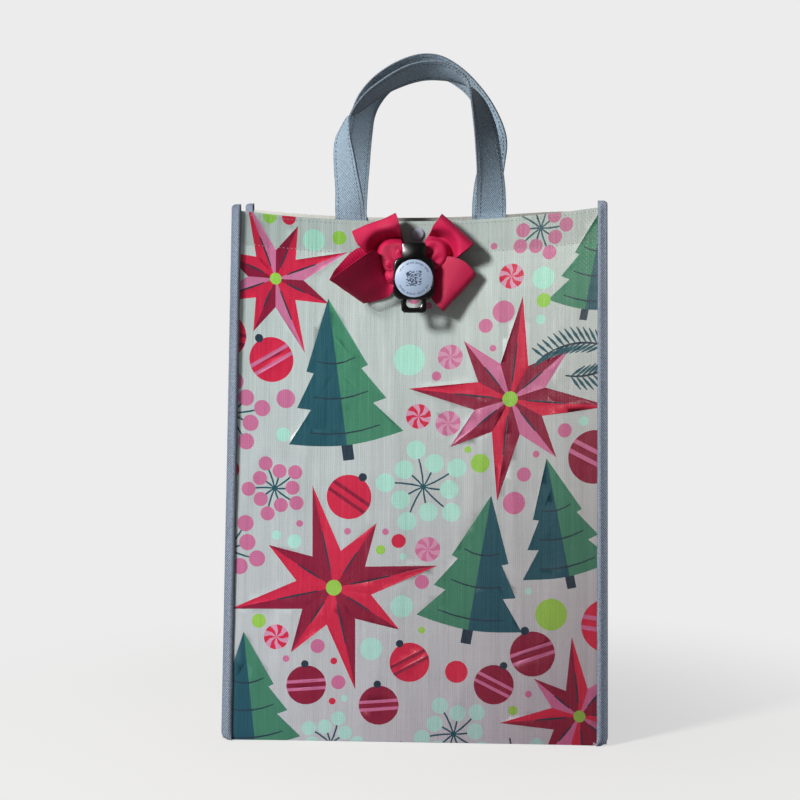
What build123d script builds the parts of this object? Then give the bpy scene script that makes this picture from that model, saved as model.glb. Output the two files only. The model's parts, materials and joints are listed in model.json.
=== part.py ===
"""Gift bag with a snap mouth, two strap handles and a ribbon bow that carries a round tag.

Millimetres, +Z up. The origin is the centre of the base, on the floor. +X runs to the right
of someone who faces the bow, and the bow is on the -Y side.
"""

import os
from math import acos, asin, cos, degrees, hypot, pi, sin

from build123d import *

# ---- main sizes ----
bag_width = 290.0  # across the side bindings at the base
top_width = 281.0  # across the side bindings at the mouth, where the panels bow in
bag_depth = 120.0  # front panel to back panel at the base
top_depth = 104.0  # the same at the corners of the mouth
bag_height = 400.0  # panel height at the corners
top_dip = 7.0  # how much lower the middle of the mouth's edge hangs
base_bow = 2.0  # inward bow of a panel at the floor
top_bow = 30.0  # inward bow of a panel at the mouth
gusset_fold_base = 1.5  # how far the side crease is pressed in at the floor
gusset_fold_top = 29.0  # and at the mouth

# ---- sheet, tape and clearances ----
sheet_t = 0.4  # laminated woven sheet
tape_t = 0.4  # twill binding tape
fit_gap = 0.25  # between sewn layers
binding_w = 7.5  # width of tape that shows on each side of a seam
binding_rise = 4.0  # the tape's end stands above the mouth
corner_r = 7.0  # rounded lower corners of the seams
floor_gap = 0.3  # the walls' lower edges above the floor
hem_depth = 25.0  # the mouth's edge is folded in by this much

# ---- strap handles ----
strap_w = 22.0
strap_t = 1.2
strap_foot_x = 52.0  # centre of each leg from the bag's middle
strap_tail = 25.0  # length sewn inside the hem
handle_height = 124.0  # from the hinge line to the strap's upper edge
shoulder_drop = 42.0  # the twists sit this far below the top
shoulder_in = 8.0  # the twists lie this much nearer the middle than the legs
handle_lean = 10.0  # degrees, outward
strap_gap = 0.3  # from the hem's top edge
strap_drop = 1.0  # the legs reach this far below the hinge line

# ---- snap that closes the mouth ----
snap_drop = 19.0  # below the corners of the mouth
snap_cap_r = 4.65
snap_cap_t = 1.6
snap_body_r = 4.4
snap_socket_t = 2.4
snap_stud_r = 1.7
snap_play = 0.3  # round the stud, which enters at a slight angle
snap_stud_l = 1.6
snap_post_r = 1.0
snap_post_in = 0.7  # the cap's post reaches this far into its half
post_gap = 0.1  # round a post

# ---- snap that holds the bow ----
bow_drop = 40.0  # below the corners of the mouth
bow_x = -4.0
bow_socket_r = 6.0
bow_socket_t = 2.2
bow_stud_r = 2.2
bow_stud_l = 1.5
bow_base_r = 6.5
bow_base_t = 1.2
bow_washer_t = 1.0
bow_post_r = 1.5
bow_post_in = 1.5  # the post reaches this far into the tag

# ---- ribbon bow: one piece for each pair of loops ----
ribbon_w = 35.0
ribbon_t = 0.6
loop_end_r = 7.5  # half the depth of a loop at its end
loop_pinch_r = 1.1  # the same where it is gathered
loop_rise = 7.0  # degrees that each loop stands off the bag
under_end_r = 4.0  # the lower ribbon's loops are pressed flatter
under_rise = 3.0  # degrees
loop_start = 15.0  # from the post to the start of a loop
root_w = 15.0  # width of the gathered middle
ribbon_step = 9.1  # clear space between the two ribbons at the post
upper_left_turn = 113.0  # degrees round the post, from +X
upper_left_len = 38.0
upper_left_side = 18.0  # how far the loop lies to its own left
upper_right_turn = 40.0
upper_right_len = 40.0
upper_right_side = -5.2
lower_right_turn = -42.0
lower_right_len = 39.5
lower_right_side = 6.0
lower_left_turn = 196.0
lower_left_len = 63.0
lower_left_side = -2.0
open_loop_end_r = 13.0  # the lower left loop is held open
open_loop_start = 20.0  # and starts clear of the tag
open_loop_roll = 66.0  # degrees that it is rolled over to face forward
open_loop_drop = 6.5  # its edge lies this far nearer the bag than its root

# ---- tag ----
tag_lift = 2.8  # the holder stands this far in front of the upper ribbon's back layer
tag_drop = 12.0  # the tag's centre hangs this far below the post
tag_w = 30.5
tag_h = 31.7
tag_t = 5.0
tag_corner_r = 6.0
tag_disc_r = 14.1
tag_disc_t = 1.0
tag_disc_gap = 0.15
tag_tab_w = 17.7
tag_tab_h = 11.6
tag_tab_t = 3.0
tag_loop_w = 18.7
tag_loop_h = 10.2
tag_loop_bar = 3.6
tag_edge_r = 0.8

sheet_half = bag_width / 2 - tape_t - fit_gap
sheet_half_top = top_width / 2 - tape_t - fit_gap
hem_t = 2 * sheet_t
snap_z = bag_height - snap_drop
bow_z = bag_height - bow_drop
through = hem_t + 2 * snap_socket_t  # reach of the cuts for posts


def arc_point(u, half, bow):
    """x and inward depth at u (-1..1) on an arc of this half chord and bow."""
    radius = (half * half + bow * bow) / (2 * bow)
    turn = u * asin(half / radius)
    return radius * sin(turn), bow - radius + radius * cos(turn)


def outer_point(u, z):
    """The front panel's outer surface: straight lines from the base arc to the mouth arc."""
    f = z / bag_height
    x0, in0 = arc_point(u, sheet_half, base_bow)
    x1, in1 = arc_point(u, sheet_half_top, top_bow)
    y0 = -bag_depth / 2 + in0
    y1 = -top_depth / 2 + in1
    return x0 + f * (x1 - x0), y0 + f * (y1 - y0)


def outer_at(x, z):
    """The same, for a given x."""
    low, high = -1.0, 1.0
    for _ in range(40):
        mid = (low + high) / 2
        if outer_point(mid, z)[0] < x:
            low = mid
        else:
            high = mid
    return outer_point((low + high) / 2, z)[1]


def mouth_z(x):
    """Height of the mouth's edge."""
    return bag_height - arc_point(0, sheet_half_top, top_dip)[1] * (1 - (x / sheet_half_top) ** 2)


def panel_slab(z0, z1, thick):
    """A bowed slab between two heights, measured inward from the outer surface."""
    faces = []
    for z in (z0, z1):
        corners = [outer_point(u, z) for u in (-1, 0, 1)]
        outside = [Vector(x, y, z) for x, y in corners]
        inside = [Vector(x, y + thick, z) for x, y in corners]
        wire = Wire(
            [
                Edge.make_three_point_arc(*outside),
                Edge.make_line(outside[2], inside[2]),
                Edge.make_three_point_arc(*reversed(inside)),
                Edge.make_line(inside[0], outside[0]),
            ]
        )
        faces.append(Face(wire))
    return Solid.make_loft([f.outer_wire() for f in faces], ruled=True)


def silhouette(half, low, high, dip, radius):
    """A prism along Y: straight sides, rounded lower corners and a dipping upper edge."""
    wide = bag_width
    top = high + dip
    with BuildSketch(Plane.XZ) as sk:
        with BuildLine():
            Polyline((half, top), (wide, top), (wide, low), (-wide, low), (-wide, top), (-half, top))
            ThreePointArc((-half, top), (0, high), (half, top))
        make_face()
    body = extrude(sk.sketch, bag_depth, both=True)
    if radius:
        with BuildSketch(Plane.XZ) as cut:
            with Locations((half, low)):
                Rectangle(2 * radius, 2 * radius)
            with Locations((half - radius, low + radius)):
                Circle(radius, mode=Mode.SUBTRACT)
            with Locations((half - 1.5 * radius, low + radius / 2)):
                Rectangle(radius, radius + 0.01, mode=Mode.SUBTRACT)
            with Locations((half - radius / 2, low + 1.5 * radius)):
                Rectangle(radius + 0.01, radius, mode=Mode.SUBTRACT)
        corner = extrude(cut.sketch, bag_depth, both=True)
        body = body - corner - corner.mirror(Plane.YZ)
    return body


def edge_frame(z):
    """The right-hand edge of the front panel: its outer point, the way out and the normal."""
    x1, y1 = outer_point(1, z)
    x0 = x1 - binding_w
    y0 = outer_at(x0, z)
    size = hypot(x1 - x0, y1 - y0)
    out = Vector((x1 - x0) / size, (y1 - y0) / size, 0)
    normal = Vector(out.Y, -out.X, 0)
    return Vector(x1, y1, z), out, normal


def lofted(sections):
    """A solid through closed outlines, all drawn the same way round."""
    solid = Solid.make_loft([Wire.make_polygon(s, close=True) for s in sections], ruled=True)
    if solid.volume < 0:
        turned = [list(reversed(s)) for s in sections]
        solid = Solid.make_loft([Wire.make_polygon(s, close=True) for s in turned], ruled=True)
    return solid


def panel_normal(x, z):
    """The front panel's outer point at x, z and its outward normal in the Y-Z plane."""
    y = outer_at(x, z)
    slope = (outer_at(x, z + 5) - outer_at(x, z - 5)) / 10
    size = hypot(1, slope)
    return Vector(x, y, z), Vector(0, -1 / size, slope / size)


def on_panel(x, z):
    """A frame on the front panel: X across, Y up the panel, Z out of the bag."""
    point, normal = panel_normal(x, z)
    return Plane(origin=point, x_dir=(1, 0, 0), z_dir=normal)


def disc(radius, low, high):
    """A cylinder about the local Z between two heights."""
    return Pos(0, 0, (low + high) / 2) * Cylinder(radius, high - low)


# ---- walls: a bowed sheet each, with the mouth's edge folded in ----
hem_z = bag_height - hem_depth
wall = panel_slab(floor_gap, hem_z, sheet_t) + panel_slab(hem_z, bag_height, hem_t)
wall = wall & silhouette(sheet_half, floor_gap, bag_height - top_dip, top_dip, corner_r)
snap_frame = on_panel(0, snap_z)
bow_frame = on_panel(bow_x, bow_z)
snap_hole = snap_frame * disc(snap_post_r + post_gap, -through, through)
bow_hole = bow_frame * disc(bow_post_r + post_gap, -through, through)
front_panel = wall - snap_hole - bow_hole
back_panel = (wall - snap_hole).mirror(Plane.XZ)

# ---- side gussets: a creased sheet with flanges that are sewn to the other sheets ----
base_top = tape_t + 2 * fit_gap + sheet_t
flange_z = base_top + fit_gap
base_half_y = bag_depth / 2 - base_bow - sheet_t - fit_gap
seam_half_y = bag_depth / 2 - hem_t - sheet_t - 4 * fit_gap - tape_t


def gusset_section(z):
    """Closed outline of the right gusset at one height, from the front seam to the back one."""
    point, out, normal = edge_frame(z)
    near = hem_t + fit_gap
    bend = point - out * (binding_w + fit_gap)
    fold = gusset_fold_base + (gusset_fold_top - gusset_fold_base) * z / bag_height
    inside = [point - normal * near, bend - out * sheet_t - normal * near]
    outside = [point - normal * (near + sheet_t), bend - normal * (near + sheet_t)]
    crease = Vector(bend.X - fold, 0, z)
    inner_crease = Vector(bend.X - fold - 1.2 * sheet_t, 0, z)

    def back(p):
        return Vector(p.X, -p.Y, p.Z)

    path = inside + [inner_crease] + [back(p) for p in reversed(inside)]
    other = outside + [crease] + [back(p) for p in reversed(outside)]
    return path + list(reversed(other))


right_gusset = lofted([gusset_section(flange_z), gusset_section(bag_height)])
flange_x0 = edge_frame(flange_z)[0].X - binding_w - fit_gap - sheet_t
flange_x1 = edge_frame(flange_z)[0].X
flange = Pos((flange_x0 + flange_x1) / 2, 0, flange_z + sheet_t / 2) * Box(
    flange_x1 - flange_x0, 2 * seam_half_y, sheet_t
)
right_gusset = (right_gusset + flange) & silhouette(
    sheet_half, floor_gap, bag_height - top_dip, top_dip, corner_r
)

# ---- base: one flat sheet, stepped up at its sides to meet the seams ----
step_x = sheet_half - binding_w - 3 * fit_gap
step_h = base_top - sheet_t
with BuildSketch(Plane.XZ) as base_sk:
    with BuildLine():
        Polyline(
            (-sheet_half, step_h),
            (-step_x, step_h),
            (-step_x + 2, 0),
            (step_x - 2, 0),
            (step_x, step_h),
            (sheet_half, step_h),
            (sheet_half, base_top),
            (step_x - sheet_t / 4, base_top),
            (step_x - 2 - sheet_t / 4, sheet_t),
            (-step_x + 2 + sheet_t / 4, sheet_t),
            (-step_x + sheet_t / 4, base_top),
            (-sheet_half, base_top),
            close=True,
        )
    make_face()
base_panel = extrude(base_sk.sketch, base_half_y, both=True)
notch_x = sheet_half - binding_w - 4 * fit_gap - tape_t
for sx in (-1, 1):
    for sy in (-1, 1):
        base_panel = base_panel - Pos(
            sx * (notch_x + bag_width / 2), sy * (seam_half_y + bag_depth / 2), base_top
        ) * Box(bag_width, bag_depth, 4 * base_top)

# ---- binding tapes folded over the seams ----
stack = hem_t + sheet_t + 2 * fit_gap


def binding_section(z):
    """Closed outline of the tape over the right front seam at one height."""
    point, out, normal = edge_frame(z)
    inner_end = point - out * binding_w
    over = fit_gap + tape_t
    return [
        point + out * over + normal * over,
        inner_end + normal * over,
        inner_end + normal * fit_gap,
        point + out * fit_gap + normal * fit_gap,
        point + out * fit_gap - normal * stack,
        inner_end - normal * stack,
        inner_end - normal * (stack + tape_t),
        point + out * over - normal * (stack + tape_t),
    ]


tape = lofted([binding_section(floor_gap), binding_section(bag_height + binding_rise)])
tape = tape & silhouette(bag_width / 2, floor_gap, bag_height + 2 * binding_rise, 0.5, corner_r)
front_right_binding = tape
front_left_binding = tape.mirror(Plane.YZ)
back_right_binding = tape.mirror(Plane.XZ)
back_left_binding = back_right_binding.mirror(Plane.YZ)

base_seam_x = bag_width / 2 - binding_w
base_seam_top = flange_z + sheet_t + fit_gap
with BuildSketch(Plane.XZ) as seam_sk:
    with BuildLine():
        Polyline(
            (base_seam_x, 0),
            (bag_width / 2, 0),
            (bag_width / 2, base_seam_top + tape_t),
            (base_seam_x, base_seam_top + tape_t),
            (base_seam_x, base_seam_top),
            (bag_width / 2 - tape_t, base_seam_top),
            (bag_width / 2 - tape_t, tape_t),
            (base_seam_x, tape_t),
            close=True,
        )
    make_face()
right_base_binding = extrude(seam_sk.sketch, seam_half_y, both=True)
left_base_binding = right_base_binding.mirror(Plane.YZ)

# ---- strap handles ----
foot_edge = strap_foot_x + strap_w / 2
hinge_z = mouth_z(foot_edge) + strap_gap + strap_t / 2
tail_top = mouth_z(strap_foot_x - strap_w / 2) - floor_gap
tail_mid = tail_top - strap_tail / 2


def tail(side):
    """The sewn end of a leg, flat against the inside of the hem."""
    x = side * strap_foot_x
    slope = (outer_at(x + 5, tail_mid) - outer_at(x - 5, tail_mid)) / 10
    rise = (outer_at(x, tail_mid + 5) - outer_at(x, tail_mid - 5)) / 10
    across = Vector(1, slope, 0).normalized()
    normal = Vector(slope, -1, rise).normalized()
    centre = Vector(x, outer_at(x, tail_mid), tail_mid)
    centre = centre - normal * (hem_t + 2 * fit_gap + strap_t / 2)
    return Plane(origin=centre, x_dir=across, z_dir=normal) * Box(strap_w, strap_tail, strap_t)


tails = [tail(-1).solid(), tail(1).solid()]
front_handle_tails = Compound(tails)
back_handle_tails = Compound([t.mirror(Plane.XZ) for t in tails])

hinge_y = outer_at(strap_foot_x, hinge_z) + hem_t + 2 * fit_gap + strap_t / 2
shoulder_x = strap_foot_x - shoulder_in
shoulder_z = handle_height - shoulder_drop
arch_z = handle_height - strap_w / 2


def strap_centre(f):
    """Centre line of the loop, above the hinge line: two legs and an arch, f from -1 to 1."""
    side = -1 if f < 0 else 1
    g = abs(f)
    if g > 0.5:
        h = (1 - g) / 0.5
        return side * (strap_foot_x - shoulder_in * h * h), shoulder_z * h
    turn = g / 0.5 * pi / 2
    return side * shoulder_x * sin(turn), shoulder_z + (arch_z - shoulder_z) * cos(turn)


def strap_section(f):
    """A strap cross-section square to the centre line, turned over once at each shoulder."""
    x, z = strap_centre(f)
    xa, za = strap_centre(max(-1, f - 0.02))
    xb, zb = strap_centre(min(1, f + 0.02))
    size = hypot(xb - xa, zb - za)
    along = Vector((xb - xa) / size, 0, (zb - za) / size)
    radial = Vector(-along.Z, 0, along.X)
    g = abs(f)
    ramp = min(1, max(0, (0.72 - g) / 0.44))
    turn = pi * ramp * ramp * (3 - 2 * ramp)
    if f < 0:
        turn = -turn
    across = radial * cos(turn) + Vector(0, 1, 0) * sin(turn)
    thick = along.cross(across)
    centre = Vector(x, 0, z)
    return [
        centre + across * (i * strap_w / 2) + thick * (j * strap_t / 2)
        for i, j in ((-1, -1), (1, -1), (1, 1), (-1, 1))
    ]


steps = 36
loop_sections = [strap_section(-1 + 2 * i / steps) for i in range(steps + 1)]
below = Vector(0, 0, -strap_drop)
loop_sections = (
    [[p + below for p in loop_sections[0]]]
    + loop_sections
    + [[p + below for p in loop_sections[-1]]]
)
handle = lofted(loop_sections)
handle = handle.rotate(Axis.X, handle_lean)
front_handle = Pos(0, hinge_y, hinge_z) * handle
back_handle = front_handle.mirror(Plane.XZ)

# ---- mouth snap: a cap and a half on each panel ----
cap_dome = disc(snap_cap_r, 0, snap_cap_t)
cap_dome = fillet(cap_dome.edges().group_by(Axis.Z)[-1], snap_cap_t * 0.6)
cap_dome = cap_dome + disc(snap_post_r, -hem_t - fit_gap - snap_post_in, snap_cap_t / 2)
socket = disc(snap_body_r, -hem_t - fit_gap - snap_socket_t, -hem_t - fit_gap)
socket = socket - disc(snap_post_r + post_gap, -through, through)
socket = socket - disc(
    snap_stud_r + snap_play,
    -through,
    -hem_t - fit_gap - snap_socket_t + snap_stud_l + snap_play,
)
stud = disc(snap_body_r, -hem_t - fit_gap - snap_socket_t / 2, -hem_t - fit_gap)
stud = stud - disc(snap_post_r + post_gap, -through, through)
stud = stud + (
    disc(
        snap_stud_r,
        -hem_t - fit_gap - snap_socket_t / 2 - snap_stud_l,
        -hem_t - fit_gap - snap_socket_t / 2,
    )
)
lift = fit_gap / 2
front_snap_cap = snap_frame * Pos(0, 0, lift) * cap_dome
front_snap_socket = snap_frame * socket
back_snap_cap = (snap_frame * Pos(0, 0, lift) * cap_dome).mirror(Plane.XZ)
back_snap_stud = (snap_frame * stud).mirror(Plane.XZ)

# ---- bow snap: a socket on the front panel and the stud that the bow hangs on ----
bow_socket = disc(bow_socket_r, fit_gap, fit_gap + bow_socket_t)
bow_socket = bow_socket - disc(
    bow_stud_r + post_gap, fit_gap + bow_socket_t - bow_stud_l - post_gap, through
)
bow_socket = bow_socket + disc(bow_post_r, -sheet_t - fit_gap - bow_washer_t, fit_gap + 0.1)
bow_socket_washer = disc(bow_socket_r, -sheet_t - fit_gap - bow_washer_t, -sheet_t - fit_gap)
bow_socket_washer = bow_socket_washer - disc(bow_post_r + post_gap, -through, through)
stud_top = fit_gap + bow_socket_t + fit_gap
post_top = stud_top + bow_base_t + fit_gap + 2 * ribbon_t + ribbon_step + tag_lift
bow_stud = disc(bow_stud_r, stud_top - fit_gap - bow_stud_l, stud_top + 0.1)
bow_stud = bow_stud + disc(bow_base_r, stud_top, stud_top + bow_base_t)
bow_stud = bow_stud + disc(bow_post_r, stud_top + bow_base_t - 0.1, post_top + bow_post_in)

# ---- ribbons ----


def teardrop(big, small, length, start):
    """Outline with a round far end and a pinched near end, standing on the base line."""
    gap = length - big - start
    tilt = asin((big - small) / hypot(gap, big - small)) * 2
    far = (length - big, big)
    near = (start, small)
    with BuildSketch() as sk:
        with Locations(far):
            Circle(big)
        with Locations(near):
            Circle(small)
        with BuildLine():
            top = (-sin(tilt), cos(tilt))
            Polyline(
                (far[0], 0),
                (near[0], 0),
                near,
                (near[0] + small * top[0], near[1] + small * top[1]),
                (far[0] + big * top[0], far[1] + big * top[1]),
                far,
                close=True,
            )
        make_face()
    return sk.sketch


def band(length, end_r, start):
    """A closed loop of ribbon along +X that stands on the X-Y plane."""
    outer = teardrop(end_r, loop_pinch_r, length, start)
    inner = teardrop(end_r - ribbon_t, loop_pinch_r - ribbon_t, length - ribbon_t, start)
    solid = extrude(outer - Pos(0, ribbon_t) * inner, ribbon_w / 2, both=True)
    return solid.rotate(Axis.X, 90)


def root(reach, side):
    """The gathered ribbon between the middle and a loop."""
    return Pos(reach / 2, side / 4, ribbon_t / 2) * Box(reach, root_w, ribbon_t)


def loop(turn, length, side, low, end_r, rise):
    """A loop that lies flat, pointing along turn (degrees), its back layer at low."""
    solid = Pos(0, side, 0) * band(length, end_r, loop_start)
    solid = solid.rotate(Axis((loop_start, 0, 0), (0, -1, 0)), rise)
    solid = solid + root(loop_start + 2 * loop_pinch_r, side)
    return Pos(0, 0, low) * solid.rotate(Axis.Z, turn)


def open_loop(turn, length, side, low):
    """A loop that is rolled over, so that its open side faces forward, on a flat root."""
    solid = Pos(0, 0, -open_loop_end_r) * band(length, open_loop_end_r, open_loop_start)
    solid = solid.rotate(Axis.X, open_loop_roll)
    solid = Pos(0, side, -solid.bounding_box().min.Z - open_loop_drop) * solid
    solid = solid + root(1.6 * open_loop_start, side)
    return Pos(0, 0, low) * solid.rotate(Axis.Z, turn)


def gathered(one, other, low):
    """Two loops that meet at a flat middle with a hole for the stud."""
    middle = disc(root_w / 2, low, low + ribbon_t)
    return one + other + middle - disc(bow_post_r + post_gap, 0, post_top)


low_ribbon = stud_top + bow_base_t + fit_gap
high_ribbon = low_ribbon + 2 * ribbon_t + ribbon_step
ribbon_one = gathered(
    loop(
        upper_left_turn, upper_left_len, upper_left_side, low_ribbon, under_end_r, under_rise
    ),
    loop(
        lower_right_turn, lower_right_len, lower_right_side, low_ribbon, under_end_r, under_rise
    ),
    low_ribbon,
)
ribbon_two = gathered(
    loop(
        upper_right_turn, upper_right_len, upper_right_side, high_ribbon, loop_end_r, loop_rise
    ),
    open_loop(lower_left_turn, lower_left_len, lower_left_side, high_ribbon),
    high_ribbon,
)
bow_ribbon_low = bow_frame * ribbon_one
bow_ribbon_high = bow_frame * ribbon_two
bow_stud = bow_frame * bow_stud
bow_socket = bow_frame * bow_socket
bow_socket_washer = bow_frame * bow_socket_washer

# ---- tag: a moulded holder with a tab and a loop, and its disc ----
tag_low = high_ribbon + tag_lift


def slab(width, height, low, high, radius):
    """A rounded rectangle in the local X-Y plane between two heights."""
    with BuildSketch(Plane.XY.offset(low)) as sk:
        RectangleRounded(width, height, radius)
    return extrude(sk.sketch, high - low)


tag_holder = slab(tag_w, tag_h, tag_low, tag_low + tag_t, tag_corner_r)
tag_holder = fillet(tag_holder.faces().sort_by(Axis.Z)[-1].edges(), tag_edge_r)
tab_y = tag_h / 2 + tag_tab_h / 2 - 1
tab_top = tag_low + tag_t - tag_edge_r
tab_low = tab_top - tag_tab_t
tag_holder = tag_holder + Pos(0, tab_y) * slab(tag_tab_w, tag_tab_h + 2, tab_low, tab_top, 2)
loop_y = -tag_h / 2 - tag_loop_h / 2 + 1
d_loop = slab(tag_loop_w, tag_loop_h + 2, tab_low, tab_top, 3)
d_gap = slab(
    tag_loop_w - 2 * tag_loop_bar, tag_loop_h - tag_loop_bar + 1, tag_low - 1, tag_low + tag_t, 1.5
)
d_loop = Pos(0, loop_y) * d_loop - Pos(0, loop_y + tag_loop_bar / 2) * d_gap
tag_holder = tag_holder + d_loop
seat = tag_low + tag_t - tag_disc_t - tag_disc_gap
tag_holder = tag_holder - disc(tag_disc_r + tag_disc_gap, seat, seat + tag_t)
tag_disc = disc(tag_disc_r, seat + tag_disc_gap / 2, tag_low + tag_t - tag_disc_gap / 2)
tag_holder = Pos(0, -tag_drop) * tag_holder
tag_holder = tag_holder - disc(
    bow_post_r + post_gap, tag_low - post_gap, post_top + bow_post_in + post_gap
)
tag_disc = Pos(0, -tag_drop) * tag_disc
tag_holder = bow_frame * tag_holder
tag_disc = bow_frame * tag_disc

os.makedirs("parts", exist_ok=True)
nodes = {
    "base_panel": base_panel,
    "left_gusset": right_gusset.mirror(Plane.YZ),
    "right_gusset": right_gusset,
    "left_base_binding": left_base_binding,
    "right_base_binding": right_base_binding,
    "front_panel": front_panel,
    "front_left_binding": front_left_binding,
    "front_right_binding": front_right_binding,
    "front_handle_tails": front_handle_tails,
    "front_snap_cap": front_snap_cap,
    "front_snap_socket": front_snap_socket,
    "bow_socket": bow_socket,
    "bow_socket_washer": bow_socket_washer,
    "back_panel": back_panel,
    "back_left_binding": back_left_binding,
    "back_right_binding": back_right_binding,
    "back_handle_tails": back_handle_tails,
    "back_snap_cap": back_snap_cap,
    "back_snap_stud": back_snap_stud,
    "front_handle": front_handle,
    "back_handle": back_handle,
    "bow_stud": bow_stud,
    "bow_ribbon_low": bow_ribbon_low,
    "bow_ribbon_high": bow_ribbon_high,
    "tag_holder": tag_holder,
    "tag_disc": tag_disc,
}
for node, shape in nodes.items():
    export_step(shape, f"parts/{node}.step")
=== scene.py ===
import json
import random
from math import asin, cos, exp, hypot, pi, radians, sin

import bmesh
import bpy
from mathutils import Matrix, Vector, noise
from mathutils.geometry import delaunay_2d_cdt

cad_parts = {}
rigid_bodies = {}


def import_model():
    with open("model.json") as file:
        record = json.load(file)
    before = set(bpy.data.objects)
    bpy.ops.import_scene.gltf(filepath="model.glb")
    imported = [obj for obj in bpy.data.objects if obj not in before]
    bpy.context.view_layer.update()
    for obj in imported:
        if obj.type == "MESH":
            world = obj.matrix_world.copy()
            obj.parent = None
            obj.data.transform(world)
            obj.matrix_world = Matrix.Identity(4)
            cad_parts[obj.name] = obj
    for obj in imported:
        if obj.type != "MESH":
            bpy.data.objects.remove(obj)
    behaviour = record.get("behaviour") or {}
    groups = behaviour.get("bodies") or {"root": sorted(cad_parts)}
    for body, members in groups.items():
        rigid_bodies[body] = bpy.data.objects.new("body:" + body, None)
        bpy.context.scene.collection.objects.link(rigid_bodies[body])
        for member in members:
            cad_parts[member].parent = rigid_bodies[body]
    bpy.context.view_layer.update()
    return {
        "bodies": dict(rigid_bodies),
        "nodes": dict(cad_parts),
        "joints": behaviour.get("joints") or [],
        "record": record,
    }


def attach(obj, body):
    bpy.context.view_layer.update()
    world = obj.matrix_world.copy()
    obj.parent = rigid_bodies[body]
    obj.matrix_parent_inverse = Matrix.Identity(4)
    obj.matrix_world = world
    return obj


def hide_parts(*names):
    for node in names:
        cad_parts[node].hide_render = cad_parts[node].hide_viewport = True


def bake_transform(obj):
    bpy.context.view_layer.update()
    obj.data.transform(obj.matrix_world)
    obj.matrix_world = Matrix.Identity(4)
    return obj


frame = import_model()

scene = bpy.context.scene
MM = 0.001

# ---- camera, lamps and floor ----
# A long lens just above the mouth's height, a broad soft lamp from the upper left, and a plain
# pale floor that keeps the bag's shadow.
view_turn = radians(1.2)
camera_data = bpy.data.cameras.new("camera")
camera_data.lens = 97.76
camera_data.sensor_width = 36
camera_data.shift_x = -0.0258
camera_data.shift_y = -0.0515
camera = bpy.data.objects.new("camera", camera_data)
scene.collection.objects.link(camera)
camera.location = (1.66 * sin(view_turn), -1.66 * cos(view_turn), 0.41335)
camera.rotation_euler = (radians(90 - 4.45), 0, view_turn)
scene.camera = camera
scene.view_settings.view_transform = "Standard"


def lamp(name, place, aim, size, power, tint):
    data = bpy.data.lights.new(name, "AREA")
    data.shape = "RECTANGLE"
    data.size, data.size_y = size
    data.energy = power
    data.color = tint
    ob = bpy.data.objects.new(name, data)
    scene.collection.objects.link(ob)
    ob.location = place
    ob.rotation_euler = (Vector(aim) - Vector(place)).to_track_quat("-Z", "Y").to_euler()


lamp("key_lamp", (-1.16, -1.14, 1.2), (0, 0, 0.3), (0.3, 0.38), 56, (1, 0.99, 0.97))
lamp("fill_lamp", (1.7, -1.9, 1.3), (0, 0, 0.2), (1.6, 1.4), 2.2, (1, 0.94, 0.97))
lamp("back_lamp", (0.9, 2.0, 1.3), (0, 0, 0.25), (1.8, 1.6), 5.5, (1, 1, 1))
lamp("top_lamp", (0, 0.6, 2.2), (0, 0, 0), (1.8, 1.8), 4.2, (1, 1, 1))


class Value:
    """A shader value. Arithmetic on it adds the Math nodes to its material."""

    def __init__(self, finish, socket):
        self.finish, self.socket = finish, socket

    def math(self, operation, *others):
        return self.finish.node("ShaderNodeMath", [self, *others], operation=operation)

    def __add__(self, o):
        return self.math("ADD", o)

    def __sub__(self, o):
        return self.math("SUBTRACT", o)

    def __mul__(self, o):
        return self.math("MULTIPLY", o)

    def __truediv__(self, o):
        return self.math("DIVIDE", o)

    def __radd__(self, o):
        return self + o

    def __rmul__(self, o):
        return self * o

    def __rsub__(self, o):
        return self * -1 + o


class Finish:
    """A node material, made by calls that add one node each."""

    def __init__(self, name):
        self.material = bpy.data.materials.new(name)
        self.material.use_nodes = True
        self.tree = self.material.node_tree
        self.tree.nodes.clear()

    def node(self, kind, inputs=(), output=0, **settings):
        made = self.tree.nodes.new(kind)
        for key, value in settings.items():
            setattr(made, key, value)
        pairs = inputs.items() if isinstance(inputs, dict) else enumerate(inputs)
        for key, value in pairs:
            if isinstance(value, Value):
                self.tree.links.new(value.socket, made.inputs[key])
            else:
                made.inputs[key].default_value = value
        return Value(self, made.outputs[output])

    def mix(self, factor, one, other, blend="MIX"):
        return self.node(
            "ShaderNodeMix", {0: factor, 6: one, 7: other}, 2, data_type="RGBA", blend_type=blend
        )

    def flat(self):
        """The piece's own flat coordinates, in metres of cloth."""
        return self.node("ShaderNodeUVMap", uv_map="cloth")

    def split(self, vector):
        x = self.node("ShaderNodeSeparateXYZ", [vector])
        return x, Value(self, x.socket.node.outputs[1])

    def noise(self, vector, scale, detail=3.0, rough=0.5):
        return self.node(
            "ShaderNodeTexNoise",
            {"Vector": vector, "Scale": scale, "Detail": detail, "Roughness": rough},
        )

    def scaled(self, vector, x, y, z=1.0):
        return self.node("ShaderNodeMapping", {"Vector": vector, "Scale": (x, y, z)})

    def bump(self, height, distance, strength=1.0, under=None):
        inputs = {"Height": height, "Distance": distance, "Strength": strength}
        if under:
            inputs["Normal"] = under
        return self.node("ShaderNodeBump", inputs)

    def surface(self, **sockets):
        plain = {k.replace("_", " "): v for k, v in sockets.items()}
        shader = self.node("ShaderNodeBsdfPrincipled", plain)
        end = self.tree.nodes.new("ShaderNodeOutputMaterial")
        self.tree.links.new(shader.socket, end.inputs[0])
        return self.material


def colour(r, g, b):
    """A screen colour (0-255) as shader values."""
    lin = [(c / 255 / 12.92) if c <= 10 else ((c / 255 + 0.055) / 1.055) ** 2.4 for c in (r, g, b)]
    return (*lin, 1.0)


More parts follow.
